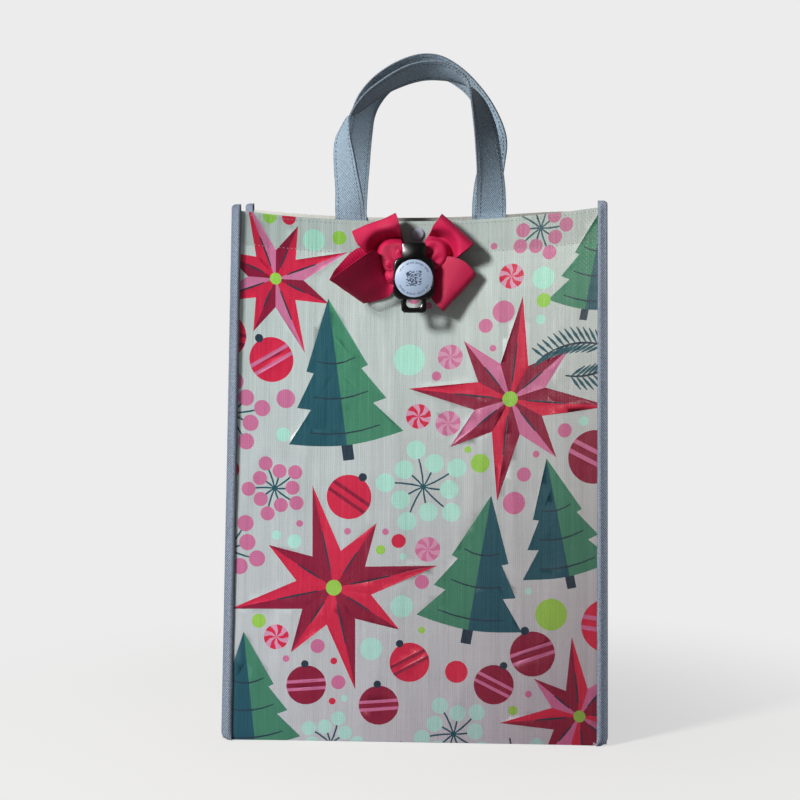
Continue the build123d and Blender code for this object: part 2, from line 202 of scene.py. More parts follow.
backdrop_grey = colour(236, 236, 236)
floor_finish = Finish("floor")
spot = floor_finish.node("ShaderNodeTexCoord", output=3)
away = floor_finish.node("ShaderNodeVectorMath", [spot], 1, operation="LENGTH")
fade = ((away - 0.1) / 0.4).math("MAXIMUM", 0.0).math("MINIMUM", 1.0)
fade = 0.7 + fade * fade * (3 - fade * 2) * 0.3
watched = floor_finish.node("ShaderNodeLightPath")
fade = fade * watched
paper_seen = (0.66, 0.652, 0.636, 1)
paper_lit = (0.3, 0.3, 0.3, 1)
paper = floor_finish.node("ShaderNodeBsdfPrincipled", {
    "Base Color": floor_finish.mix(watched, paper_lit, paper_seen),
    "Roughness": 0.9,
    "Specular IOR Level": 0.0,
})
glow = floor_finish.node("ShaderNodeEmission", [backdrop_grey, 1.0])
blended = floor_finish.node("ShaderNodeMixShader", [fade, paper, glow])
floor_end = floor_finish.tree.nodes.new("ShaderNodeOutputMaterial")
floor_finish.tree.links.new(blended.socket, floor_end.inputs[0])
floor_mesh = bmesh.new()
bmesh.ops.create_grid(floor_mesh, x_segments=1, y_segments=1, size=6)
floor_data = bpy.data.meshes.new("floor")
floor_mesh.to_mesh(floor_data)
floor = bpy.data.objects.new("floor", floor_data)
scene.collection.objects.link(floor)
floor_data.materials.append(floor_finish.material)

world = bpy.data.worlds.new("studio")
scene.world = world
world.use_nodes = True
world_tree = world.node_tree
world_tree.nodes.clear()
out = world_tree.nodes.new("ShaderNodeOutputWorld")
lit = world_tree.nodes.new("ShaderNodeBackground")
seen = world_tree.nodes.new("ShaderNodeBackground")
both = world_tree.nodes.new("ShaderNodeMixShader")
ray = world_tree.nodes.new("ShaderNodeLightPath")
lit.inputs[0].default_value = (1, 0.95, 0.95, 1)
lit.inputs[1].default_value = 0.1
seen.inputs[0].default_value = backdrop_grey
seen.inputs[1].default_value = 1
world_tree.links.new(ray.outputs["Is Camera Ray"], both.inputs[0])
world_tree.links.new(lit.outputs[0], both.inputs[1])
world_tree.links.new(seen.outputs[0], both.inputs[2])
world_tree.links.new(both.outputs[0], out.inputs[0])

# ---- the bag's shape ----
# Four walls of one laminated woven sheet. Front and back bow in towards the mouth, and the whole
# bag leans a few millimetres as it stands.
base_half = 144.35 * MM
mouth_half = 137.8 * MM
depth_low = 60.0 * MM
depth_high = 52.0 * MM
tall = 400.0 * MM
front_dip = 10.3 * MM
back_dip = 8.2 * MM
bow_low = 2.0 * MM
bow_high = 30.0 * MM
sheet_thick = 0.4 * MM
seam_width = 7.5 * MM


def arc(u, half, bow):
    """x and inward depth at u (-1..1) on an arc of this half chord and bow."""
    radius = (half * half + bow * bow) / (2 * bow)
    turn = u * asin(half / radius)
    return radius * sin(turn), bow - radius + radius * cos(turn)


def slump(p):
    """The stance of the soft bag: its base is turned a little, one front corner stands higher and
    the back corner behind it sags."""
    f = p.z / tall
    sag = 8.5 * MM * max(0, p.x / mouth_half) ** 6 * max(0, min(1, p.y / depth_high)) * max(0, f) ** 10
    turn = radians(-2.6) * (1 - f)
    x, y = p.x * cos(turn) - p.y * sin(turn), p.x * sin(turn) + p.y * cos(turn)
    return Vector((x - 1.5 * MM * (1 - f), y, p.z + 1.4 * MM * f * p.x / mouth_half - sag))


corner = 7.0 * MM
tip = 2.5 * MM
tape_rise = 4.0 * MM


def inset(z):
    """How far a seam's edge stands in from the side at its rounded lower corner and upper end."""
    low = max(0, corner - z)
    high = min(tip, max(0, z - tall - tape_rise + tip))
    return corner - (corner * corner - low * low) ** 0.5 + tip - (tip * tip - high * high) ** 0.5


def mouth_edge(u, side):
    """The height of a wall's mouth, which dips at its middle."""
    return tall - (front_dip if side < 0 else back_dip) * (1 - u * u)


def front_skin(u, z):
    """The front wall's outer face: u from side to side, z up."""
    f = z / tall
    x0, in0 = arc(u, base_half, bow_low)
    x1, in1 = arc(u, mouth_half, bow_high)
    return Vector((x0 + f * (x1 - x0), -depth_low + in0 + f * (depth_low - depth_high + in1 - in0), z))


def creases(u, z, seed):
    """Soft folds of a sheet that has been packed flat: long shallow dents and a few sharp lines."""
    free = (1 - u ** 6) * min(1, z / (45 * MM)) * max(0, min(1, (368 * MM - z) / (35 * MM)))
    a = noise.noise(Vector((u * 2.2, z * 5, seed)))
    b = noise.noise(Vector((u * 7, z * 3.5, seed + 9)))
    c = abs(noise.noise(Vector((u * 3.4 + z * 2, z * 6 - u, seed + 5))))
    return free * (1.3 * a + 0.45 * b - 0.9 * max(0, 0.12 - c) * 6) * MM


def wall_point(x, z, side, deep=0.0, seed=0):
    """A point of the front (side -1) or back (side 1) wall, from its place on the flat sheet."""
    u = max(-1, min(1, x / base_half))
    z = z * mouth_edge(u, side) / tall
    p = front_skin(u, z)
    p.y += deep + creases(u, z, seed)
    if side > 0:
        p = Vector((p.x, -p.y, p.z))
    return slump(p)


def finished(name, mesh, body, materials, smooth=True):
    """A mesh made into a piece that rides on a body, shaded crisply at its cut edges."""
    data = bpy.data.meshes.new(name)
    for edge in mesh.edges:
        edge.smooth = not edge.is_boundary
    mesh.to_mesh(data)
    mesh.free()
    for material in materials:
        data.materials.append(material)
    for face in data.polygons:
        face.use_smooth = smooth
    ob = bpy.data.objects.new(name, data)
    scene.collection.objects.link(ob)
    if body:
        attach(ob, body)
    return ob


def thickened(ob, thickness, inner=0, offset=-1.0):
    """Gives a sheet its thickness. inner is the place of its inner face's material."""
    made = ob.modifiers.new("thickness", "SOLIDIFY")
    made.thickness = thickness
    made.offset = offset
    made.use_even_offset = False
    made.material_offset = inner
    return ob


# ---- printed sheet ----
# Laminated woven polypropylene: flat tapes woven square, with a film that carries the print. The
# inside is the bare weave.


def weave_height(f, pitch):
    """Height of a plain weave of flat tapes, 0 to 1."""
    u, v = f.split(f.flat())
    a, b = u / pitch, v / pitch
    over = (a.math("FLOOR") + b.math("FLOOR")).math("MODULO", 2.0).math("ABSOLUTE")
    warp = ((a * pi).math("SINE").math("ABSOLUTE")).math("POWER", 0.45)
    weft = ((b * pi).math("SINE").math("ABSOLUTE")).math("POWER", 0.45)
    return warp * over + weft * (1 - over)


def sheet_finish(name, printed):
    """The sheet's film with its print, or its bare inside."""
    f = Finish(name)
    weave = weave_height(f, 1.6 * MM)
    where = f.flat()
    cloud = f.noise(where, 9.0, 4.0, 0.6)
    crackle = f.noise(f.scaled(where, 60, 7), 1.0, 5.0, 0.65)
    cross = f.noise(f.scaled(where, 6, 45), 1.0, 4.0, 0.6)
    if printed:
        base = f.node("ShaderNodeAttribute", attribute_name="ink", attribute_type="GEOMETRY")
    else:
        base = f.node("ShaderNodeRGB")
        base.socket.default_value = colour(190, 190, 184)
    streak = f.noise(f.scaled(where, 170, 3.5), 1.0, 4.0, 0.6)
    light = 0.69 + weave * 0.2
    light = light + (cloud - 0.5) * 0.1 + (crackle - 0.5) * 0.1 + (streak - 0.5) * 0.16 + (cross - 0.5) * 0.1
    if printed:
        # painted shade: the hem's double sheet is painted darker, and a painted falloff of the light darkens
        # the film to the right and towards the floor
        across, up = f.split(where)
        hem_painted_shade = ((up - 374 * MM) / (3 * MM)).math("MAXIMUM", 0.0).math("MINIMUM", 1.0)
        light = light * (1 - hem_painted_shade * 0.2)
        side, rise = across / (260 * MM), up / tall - 0.49
        # each channel: the film's own tint, then its painted shade to the right and painted light towards the
        # top
        tint_and_painted_falloff = ((0.748, 0.326, 0.143), (0.825, 0.46, 0.344), (0.896, 0.512, 0.236))
        shades = [light * (middle - side * right + rise * high) for middle, right, high in tint_and_painted_falloff]
    else:
        shades = [light, light, light]
    tinted = f.mix(1.0, base, f.node("ShaderNodeCombineColor", shades), "MULTIPLY")
    height = weave * 0.5 + crackle * 0.5
    rough = 0.46 + (crackle - 0.5) * 0.25 + (cross - 0.5) * 0.15
    normal = f.bump(height, 0.00022, 0.55)
    normal = f.bump(crackle + cross + streak, 0.0016, 0.32, normal)
    return f.surface(Base_Color=tinted, Roughness=rough, Normal=normal, Specular_IOR_Level=0.42)


print_finish = sheet_finish("printed_sheet", True)
inside_finish = sheet_finish("bare_sheet", False)

ground = colour(200, 198, 192)
crimson, ruby = colour(218, 30, 66), colour(146, 12, 52)
rose, blush = colour(212, 112, 148), colour(222, 150, 174)
leaf_green, pine = colour(66, 130, 98), colour(26, 82, 92)
mint, lime = colour(182, 226, 204), colour(158, 204, 76)
ink_dark = colour(34, 52, 66)


class Print:
    """Cut-out shapes laid over each other on the flat sheet, in millimetres."""

    def __init__(self):
        self.shapes = []

    def add(self, points, ink):
        area = sum(a[0] * b[1] - b[0] * a[1] for a, b in zip(points, points[1:] + points[:1]))
        self.shapes.append((points if area > 0 else points[::-1], ink))

    def dot(self, x, y, r, ink, sides=28):
        turns = [2 * pi * i / sides for i in range(sides)]
        self.add([(x + r * cos(a), y + r * sin(a)) for a in turns], ink)

    def stroke(self, points, width, ink, taper=0.35):
        """A brushed line through points, thinner at its ends."""
        left, right = [], []
        n = len(points)
        for i, (x, y) in enumerate(points):
            a, b = points[max(0, i - 1)], points[min(n - 1, i + 1)]
            size = hypot(b[0] - a[0], b[1] - a[1]) or 1
            w = width / 2 * (1 - taper * abs(2 * i / (n - 1) - 1))
            nx, ny = -(b[1] - a[1]) / size * w, (b[0] - a[0]) / size * w
            left.append((x + nx, y + ny))
            right.append((x - nx, y - ny))
        self.add(left + right[::-1], ink)

    def line(self, x0, y0, x1, y1, width, ink):
        self.stroke([(x0, y0), ((x0 + x1) / 2, (y0 + y1) / 2), (x1, y1)], width, ink)

    def star(self, x, y, size, turn, one, other, heart):
        """A folded-paper star: eight points, each light on one side and dark on the other."""
        for i in range(8):
            a = turn + i * pi / 4
            long = size if i % 2 == 0 else size * 0.74
            tip = (x + long * cos(a), y + long * sin(a))
            for side, ink in ((-1, one[i % 2]), (1, other[i % 2])):
                b = a + side * pi / 8
                waist = (x + size * 0.36 * cos(b), y + size * 0.36 * sin(b))
                self.add([(x, y), tip, waist], ink)
            self.line(x + 0.16 * size * cos(a), y + 0.16 * size * sin(a),
                      x + 0.55 * long * cos(a), y + 0.55 * long * sin(a), 1.5, ink_dark)
        self.dot(x, y, size * 0.075, heart, 20)

    def tree(self, x, y, tall, turn, dark, light):
        """A fir tree in three tiers on a short trunk."""
        def at(u, v):
            return (x + u * cos(turn) - v * sin(turn), y + u * sin(turn) + v * cos(turn))
        w = tall * 0.36
        trunk, foot = tall * 0.035, tall * 0.2
        self.add([at(-trunk, 0), at(trunk, 0), at(trunk, foot), at(-trunk, foot)], ink_dark)
        for low, high, half in ((0.14, 0.58, 1.0), (0.36, 0.8, 0.78), (0.58, 1.02, 0.54)):
            hem = [
                at(w * half * (1 - 2 * k / 12), tall * (low - 0.045 * sin(pi * k / 12)))
                for k in range(13)
            ]
            self.add([at(0, tall * high)] + hem[::-1], dark)
            self.add([at(0, tall * high)] + hem[:7], light)
            drape = [
                at(w * half * s, tall * (low + 0.07 - 0.04 * cos(s * 2)))
                for s in (-0.62, -0.3, 0, 0.3, 0.62)
            ]
            self.stroke(drape, 1.3, ink_dark)

    def bauble(self, x, y, r, turn, ink, band):
        """A glass ball with two bands and a cap."""
        self.dot(x, y, r, ink, 40)
        ca, sa = cos(turn), sin(turn)
        for off in (-0.28, 0.12):
            a0, a1 = asin(off), asin(off + 0.16)
            pts = [(cos(a), sin(a)) for a in (a0, (a0 + a1) / 2, a1)]
            pts += [(-px, py) for px, py in reversed(pts)]
            self.add([(x + r * (px * ca - py * sa), y + r * (px * sa + py * ca)) for px, py in pts], band)
        cx, cy = x - sin(turn) * r * 1.08, y + cos(turn) * r * 1.08
        self.dot(cx, cy, r * 0.19, ink_dark, 16)

    def burst(self, x, y, r, arms, turn, stem, bead, size):
        """A spray of fine arms with a bead at each end."""
        for i in range(arms):
            a = turn + 2 * pi * i / arms
            reach = r if i % 2 == 0 else r * 0.68
            bend = 0.16
            arm = [
                (x + reach * s * cos(a + bend * s), y + reach * s * sin(a + bend * s))
                for s in (0, 0.3, 0.6, 0.9)
            ]
            self.stroke(arm, 1.5, stem)
            self.dot(x + reach * cos(a + bend), y + reach * sin(a + bend), size, bead)
        self.dot(x, y, 2.2, stem, 14)

    def flake(self, x, y, r, turn, ink):
        """A snowflake with six forked arms."""
        for i in range(6):
            a = turn + i * pi / 3
            self.line(x, y, x + r * cos(a), y + r * sin(a), 2.0, ink)
            for s, t in ((0.5, 0.32), (0.75, 0.22)):
                for w in (-1, 1):
                    b = a + w * 0.95
                    fork = (x + r * s * cos(a), y + r * s * sin(a))
                    end = (x + r * (s * cos(a) + t * cos(b)), y + r * (s * sin(a) + t * sin(b)))
                    self.line(*fork, *end, 1.7, ink)

    def sprig(self, x, y, length, turn, ink, needle):
        """A pine sprig: one bowed stem with needles on both sides."""
        stem = []
        for i in range(13):
            s = i / 12
            a = turn + 0.5 * (s - 0.5)
            stem.append((x + length * s * cos(a), y + length * s * sin(a)))
        for i in range(1, 13):
            px, py = stem[i]
            reach = needle * (1.1 - 0.5 * abs(i / 12 - 0.4))
            for w in (-1, 1):
                b = turn + 0.5 * (i / 12 - 0.5) + w * 0.75
                blade = [(px + reach * s * cos(b), py + reach * s * sin(b)) for s in (0, 0.5, 1)]
                self.stroke(blade, 2.3, ink, 0.7)
        self.stroke(stem, 1.8, ink_dark)

    def sweet(self, x, y, r, ink, pale):
        """A round striped sweet."""
        self.dot(x, y, r, pale, 36)
        for i in range(6):
            a = i * pi / 3
            rim = [(x + r * cos(a + pi / 6 * k / 5), y + r * sin(a + pi / 6 * k / 5)) for k in range(6)]
            inner = [(x + r * 0.5 * cos(a - 0.28 + pi / 6), y + r * 0.5 * sin(a - 0.28 + pi / 6))]
            inner2 = [(x + r * 0.5 * cos(a - 0.28), y + r * 0.5 * sin(a - 0.28))]
            self.add(rim + inner + [(x, y)] + inner2, ink)


class Layout:
    """Keeps motifs apart: each one claims the discs that it covers."""

    def __init__(self, seed, left, right, low, high):
        self.dice = random.Random(seed)
        self.box = (left, right, low, high)
        self.claimed = []

    def free(self, discs, gap):
        return all(hypot(x - a, y - b) > r + c + gap for x, y, r in discs for a, b, c in self.claimed)

    def claim(self, discs):
        self.claimed.extend(discs)

    def scatter(self, count, shape, gap, tries=1600):
        """Calls shape(x, y, turn) for its discs and its drawing, and draws it where there is room."""
        left, right, low, high = self.box
        for _ in range(tries):
            if count == 0:
                return
            x = self.dice.uniform(left, right)
            y = self.dice.uniform(low, high)
            turn = self.dice.uniform(-pi, pi)
            discs, draw = shape(x, y, turn)
            if self.free(discs, gap):
                self.claim(discs)
                draw()
                count -= 1


def star_discs(x, y, size, turn):
    """The discs that a star's middle and points cover."""
    discs = [(x, y, size * 0.38)]
    for i in range(8):
        a = turn + i * pi / 4
        for s, w in ((0.5, 0.12), (0.7, 0.06), (0.9, 0.03)):
            reach = size * s * (1, 0.74)[i % 2]
            discs.append((x + reach * cos(a), y + reach * sin(a), size * w))
    return discs


def tree_discs(x, y, high, turn):
    """The discs that a tree covers, from its trunk to its tip."""
    discs = ((0.04, 0.07), (0.24, 0.3), (0.36, 0.26), (0.5, 0.26), (0.68, 0.17), (0.85, 0.1), (0.98, 0.04))
    return [(x - high * v * sin(turn), y + high * v * cos(turn), high * w) for v, w in discs]


wall_reach = 144


def festive_print(seed, half, stars, trees, bare=()):
    """A sheet's print: large stars and trees, then smaller shapes wherever there is room."""
    p = Print()
    plan = Layout(seed, -half - 6, half + 6, -6, 406)
    plan.claim(bare)
    for x, y, size, turn, one, other in stars:
        plan.claim(star_discs(x, y, size, turn))
        p.star(x, y, size, turn, one, other, lime)
    for x, y, high, turn, dark, light in trees:
        plan.claim(tree_discs(x, y, high, turn))
        p.tree(x, y, high, turn, dark, light)
    pick = plan.dice.choice

    def spray(x, y, turn):
        r, bead = pick(((29, 7.2), (24, 6.2), (20, 5.4))), pick((rose, mint, rose))
        return [(x, y, r[0] + r[1])], lambda: p.burst(x, y, r[0], 10, turn, pine, bead, r[1])

    def twig(x, y, turn):
        long, ink = pick((50, 62)), pick((pine, leaf_green, leaf_green))
        discs = [
            (x + long * s * cos(turn - 0.25 + 0.25 * s), y + long * s * sin(turn - 0.25 + 0.25 * s), 8)
            for s in (0.05, 0.3, 0.55, 0.8, 1.05)
        ]
        return discs, lambda: p.sprig(x, y, long, turn, ink, 14)

    def ball(x, y, turn):
        r, (ink, band) = pick((15, 17, 20)), pick(((crimson, ruby), (ruby, rose), (crimson, rose)))
        turn *= 0.2
        discs = [(x, y, r), (x - sin(turn) * r * 1.1, y + cos(turn) * r * 1.1, r * 0.2)]
        return discs, lambda: p.bauble(x, y, r, turn, ink, band)

    def snow(x, y, turn):
        return [(x, y, 15)], lambda: p.flake(x, y, 15, turn, mint)

    def candy(x, y, turn):
        ink = pick((rose, crimson))
        return [(x, y, 9.5)], lambda: p.sweet(x, y, 9.5, ink, blush)

    def pompom(x, y, turn):
        r, ink = pick((8.5, 10.5, 12)), pick((rose, mint, mint, lime, crimson))
        return [(x, y, r)], lambda: p.dot(x, y, r, ink, 36)

    def bead(x, y, turn):
        r, ink = pick((5.4, 7.2)), pick((rose, rose, mint, lime, crimson))
        return [(x, y, r)], lambda: p.dot(x, y, r, ink, 28)

    def spot(x, y, turn):
        r, ink = pick((2.6, 3.6)), pick((rose, crimson, mint, lime, mint, rose))
        return [(x, y, r)], lambda: p.dot(x, y, r, ink, 20)

    share = half / wall_reach
    kinds = (
        (7, spray, 2), (8, ball, 3), (12, twig, 1.5), (8, spray, 1), (12, ball, 2), (10, twig, 1),
        (7, candy, 2), (12, pompom, 2.5), (5, snow, 2), (24, bead, 3), (70, spot, 4),
    )
    for count, shape, gap in kinds:
        plan.scatter(round(count * share), shape, gap)
    return p


red_star = ((crimson, ruby), (ruby, crimson))
rosy_star = ((crimson, rose), (ruby, ruby))
wall_stars = (
    (-62, 118, 80, 0.22, *red_star), (70, 262, 78, -0.12, *rosy_star),
    (-110, 352, 60, 0.4, (rose, crimson), (crimson, ruby)), (124, 22, 60, 0.1, (crimson, ruby), (ruby, rose)),
)
wall_trees = (
    (-52, 216, 122, 0.14, pine, leaf_green), (38, 76, 112, -0.16, leaf_green, pine),
    (-118, -14, 96, 0.12, pine, leaf_green), (118, 118, 98, 0.2, pine, leaf_green),
    (126, 318, 84, -0.2, leaf_green, pine),
)
# discs of the sheet (mm) that stay plain behind the bow
bow_room = (
    (0, 386, 13), (0, 372, 10), (-4, 322, 9), (-46, 344, 17), (-28, 328, 13), (26, 328, 13),
    (40, 350, 12), (38, 374, 12), (-44, 372, 12),
)


def cut_print(left, right, low, high, printed, place, step):
    """Cuts a print's outlines into a flat rectangle (mm), then puts each point where it belongs."""
    columns, rows = max(2, int((right - left) / step)), int((high - low) / step)
    wide, long = (right - left) / columns, (high - low) / rows
    points, edges, faces, inks = [], [], [], []

    def outline(corners, ink):
        first = len(points)
        points.extend(Vector(c) for c in corners)
        faces.append(list(range(first, first + len(corners))))
        inks.append(ink)

    border = [(left + wide * i, low) for i in range(columns)]
    border += [(right, low + long * j) for j in range(rows)]
    border += [(right - wide * i, high) for i in range(columns)]
    border += [(left, high - long * j) for j in range(rows)]
    outline(border, ground)
    for corners, ink in printed.shapes:
        if min(y for x, y in corners) < high - 6:
            outline(corners, ink)
    for i in range(1, columns):
        for j in range(1, rows):
            points.append(Vector((left + wide * i, low + long * j)))
    verts, _, cells, _, _, owners = delaunay_2d_cdt(points, edges, faces, 0, 1e-4)
    mesh = bmesh.new()
    layer = mesh.loops.layers.uv.new("cloth")
    tint = mesh.loops.layers.float_color.new("ink")
    corners = [mesh.verts.new((v.x, v.y, 0)) for v in verts]
    for cell, owner in zip(cells, owners):
        if 0 in owner:
            face = mesh.faces.new([corners[k] for k in cell])
            for loop in face.loops:
                loop[layer].uv = (loop.vert.co.x * MM, loop.vert.co.y * MM)
                loop[tint] = inks[max(owner)]
    for v in [v for v in mesh.verts if not v.link_faces]:
        mesh.verts.remove(v)
    for v in mesh.verts:
        v.co = place(v.co.x, v.co.y)
    return mesh


def printed_wall(name, node, body, side, seed):
    """One wall: the printed sheet from the floor to the mouth."""
    def hang(x, y):
        z = y * MM
        reach = base_half - inset(z)
        return wall_point(max(-reach, min(reach, x * MM)), z, side, 0, seed)
    half = base_half / MM
    printed = festive_print(seed, wall_reach, wall_stars, wall_trees, bow_room)
    mesh = cut_print(-half, half, 0.4, 400, printed, hang, 4.5)
    if side > 0:
        bmesh.ops.reverse_faces(mesh, faces=mesh.faces)
    ob = finished(name, mesh, body, [print_finish, inside_finish])
    thickened(ob, sheet_thick, 1)
    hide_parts(node)


def grid(columns, rows, width, length, place):
    """A strip of cloth: columns across, rows along, placed by place(across -1..1, along 0..1)."""
    mesh = bmesh.new()
    bmesh.ops.create_grid(mesh, x_segments=columns, y_segments=rows, size=0.5)
    layer = mesh.loops.layers.uv.new("cloth")
    for face in mesh.faces:
        for loop in face.loops:
            at = loop.vert.co
            loop[layer].uv = (at.x * width, (at.y + 0.5) * length)
    for v in mesh.verts:
        v.co = place(2 * v.co.x, v.co.y + 0.5)
    return mesh


def inked(mesh, ink):
    """A strip printed in one colour all over."""
    layer = mesh.loops.layers.float_color.new("ink")
    for face in mesh.faces:
        for loop in face.loops:
            loop[layer] = ink
    return mesh


printed_wall("front_sheet", "front_panel", "front_wall", -1, 3)
printed_wall("back_sheet", "back_panel", "back_wall", 1, 8)

# ---- hem folds ----
# The mouth's edge of each wall is folded in by 25 mm and sewn down, so the sheet is double there
# and keeps its line between the tapes.
hem_depth = 25.0 * MM


def hem_point(x, down, side, deep):
    """A point behind the mouth's edge: x across, down from the edge."""
    u = max(-1, min(1, x / base_half))
    return wall_point(x, tall - down * tall / mouth_edge(u, side), side, deep)


for name, body, side in (("front", "front_wall", -1), ("back", "back_wall", 1)):
    def fold(u, v, side=side):
        return hem_point(u * (base_half - 8 * MM), v * hem_depth, side, 0.75 * MM)
    strip = grid(90, 6, 2 * base_half, hem_depth, fold)
    strip = finished(name + "_hem_fold", strip, body, [inside_finish])
    thickened(strip, 0.3 * MM)

# ---- gussets ----
# One sheet on each side, creased inward down its middle and sewn to both walls at its edges.
# Each is made in two halves, one towards each wall.
gusset_reach = 66
crease_low = 1.5 * MM
crease_high = 29.0 * MM
seam_reach = 7.75 * MM


def seam_frame(z):
    """The front wall's right-hand edge: the edge, the way out along the wall, and its normal."""
    edge = front_skin(1, z)
    out = (edge - front_skin(0.95, z)).normalized()
    return edge, out, Vector((out.y, -out.x, 0))


def gusset_point(across, z, side):
    """across -1 (front seam) to 1 (back seam)."""
    edge, out, normal = seam_frame(z)
    near = 1.15 * MM
    edge.z -= 5.5 * MM * (1 - abs(across)) * (z / tall) ** 8
    bend = edge - out * seam_reach - normal * near
    rim = edge - normal * near
    centre = Vector((bend.x - crease_low - (crease_high - crease_low) * z / tall, 0, edge.z))
    a = abs(across)
    share = 0.885
    if a > share:
        p = bend.lerp(rim, (a - share) / (1 - share))
    else:
        p = centre.lerp(bend, a / share)
        soft = (1 - (2 * a / share - 1) ** 2) * min(1, z / (40 * MM) + 0.2)
        p.x += soft * (2.2 * noise.noise(Vector((across * 1.5, z * 7, side * 3))) - 1.0) * MM
    if across > 0:
        p.y = -p.y
    p.x *= side
    return slump(p)


def gusset_print(seed):
    """A narrow print: small stars and trees in turn up the sheet."""
    stars = (
        (-34, 66, 27, 0.2, *red_star), (32, 164, 26, 0.5, *rosy_star),
        (-32, 262, 27, 0.1, *red_star), (32, 352, 26, 0.3, *rosy_star),
    )
    trees = (
        (34, 40, 60, 0.1, pine, leaf_green), (-34, 134, 60, -0.15, leaf_green, pine),
        (34, 226, 60, 0.2, pine, leaf_green),
    )
    return festive_print(seed, gusset_reach, stars, trees)


for name, side in (("left", -1), ("right", 1)):
    for end, wall, low, high in (("front", "front_wall", -1, 0), ("back", "back_wall", 0, 1)):
        def cut(x, z, side=side):
            return gusset_point(max(-1, min(1, x / gusset_reach)), z * MM, side)
        printed = gusset_print(5 + side)
        mesh = cut_print(low * gusset_reach, high * gusset_reach, 1.3, 398, printed, cut, 5.0)
        if side < 0:
            bmesh.ops.reverse_faces(mesh, faces=mesh.faces)
        ob = finished(f"{name}_gusset_{end}", mesh, None, [print_finish, inside_finish])
        thickened(ob, sheet_thick, 1)
        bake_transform(ob)
        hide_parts(f"{name}_gusset")

# ---- base ----
# The main sheet's middle third, flat on the floor and stepped up a little at its side seams. Its
# ends draw in towards the corners, where the tapes pull on them.


def drawn_in(y):
    """How far the base's ends draw in at y from its middle."""
    return 4.6 * MM * max(0, (abs(y) - 25 * MM) / (32.3 * MM)) ** 1.5


def base_point(u, v):
    y = (v - 0.5) * 2 * 57.2 * MM
    x = u * (base_half - 0.5 * MM - drawn_in(y))
    rise = max(0, min(1, (abs(x) - 134.4 * MM) / (2 * MM)))
    p = Vector((x, y, 0.4 * MM + rise * 0.9 * MM))
    return slump(p)


base = inked(grid(110, 24, 2 * base_half, 0.1144, base_point), ground)
base = finished("base_sheet", base, "bag_base", [inside_finish, print_finish])
thickened(base, sheet_thick, 1)
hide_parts("base_panel")

# ---- binding tapes ----
# Grey twill tape folded over each side seam and sewn through. It bulges over the stack of sheets
# and rounds the bag's lower corners.


def twill(f, pitch):
    """Diagonal ridges crossed by finer ones, 0 to 1."""
    u, v = f.split(f.flat())
    ridge = ((u + v * 0.8) / pitch * (2 * pi)).math("SINE")
    crossing = ((u - v * 1.3) / pitch * (2 * pi)).math("SINE")
    return ridge * 0.3 + crossing * 0.2 + 0.5


def webbing_finish(name, dark, light, pitch, half, rough=0.72):
    """Twill of the given ridge pitch, darker along the selvedges at half its width."""
    f = Finish(name)
    selvedge = ((f.split(f.flat())[0].math("ABSOLUTE") - half + 0.7 * MM) / (0.5 * MM)).math("MAXIMUM", 0.0)
    ridge = twill(f, pitch)
    fuzz = f.noise(f.flat(), 560, 3.0, 0.65)
    cloud = f.noise(f.flat(), 26, 3.0, 0.55)
    tone = f.mix(ridge * 1.2 + (fuzz - 0.5) * 1.2 - 0.1, colour(*dark), colour(*light))
    shade = 0.94 + (cloud - 0.5) * 0.22 - selvedge.math("MINIMUM", 1.0) * 0.5
    tone = f.mix(1.0, tone, f.node("ShaderNodeCombineColor", [shade, shade, shade]), "MULTIPLY")
    height = ridge + fuzz * 0.35
    return f.surface(
        Base_Color=tone, Roughness=rough, Normal=f.bump(height, 0.0004, 0.9),
        Sheen_Weight=0.15, Sheen_Roughness=0.5, Specular_IOR_Level=0.3,
    )


tape_finish = webbing_finish("binding_twill", (58, 70, 88), (156, 169, 188), 1.6 * MM, 8.8 * MM)
strap_finish = webbing_finish("strap_twill", (60, 73, 88), (172, 197, 216), 1.5 * MM, 11.0 * MM)


def thread(name, dark, light):
    """Sewing thread, twisted from two tones."""
    f = Finish(name)
    lay = f.noise(f.node("ShaderNodeTexCoord", output=3), 2500)
    tone = f.mix(lay, colour(*dark), colour(*light))
    return f.surface(Base_Color=tone, Roughness=0.55, Normal=f.bump(lay, 0.0001, 0.5))


thread_finish = thread("pale_thread", (112, 116, 122), (188, 190, 188))
dark_thread = thread("dark_thread", (34, 40, 50), (92, 104, 118))
tape_thick = 0.4 * MM


def tape_point(across, z, side, end):
    """across -1 (on the wall's outer face) to 1 (on its inner face), round the seam's edge."""
    edge, out, normal = seam_frame(z)
    over, stack = 0.6 * MM, 1.75 * MM
    wave = 0.35 * MM * noise.noise(Vector((z * 60, side * 4, end * 7)))
    a = abs(across)
    wrap = 0.12
    width = seam_width + over - 1.2 * MM * z / tall
    reach = -(a - wrap) / (1 - wrap) * width if a > wrap else 0
    if across < 0:
        lift = over if a > wrap else over * (0.35 + 0.65 * a / wrap)
        fullness = min(1, max(0, tall + tape_rise - z) / (5 * MM))
        lift += 2.1 * MM * sin(pi * max(0, (a - wrap) / (1 - wrap)) ** 1.8) * fullness
    else:
        lift = -stack if a > wrap else -stack * a / wrap
    bulge = 0 if a > wrap else 0.25 * MM * (1 - a / wrap)
    along = max(-width, reach - inset(z)) + wave * (a > 0.9)
    p = edge + out * (over + along + bulge) + normal * lift
    if end > 0:
        p.y = -p.y
    p.x *= side
    return slump(p)


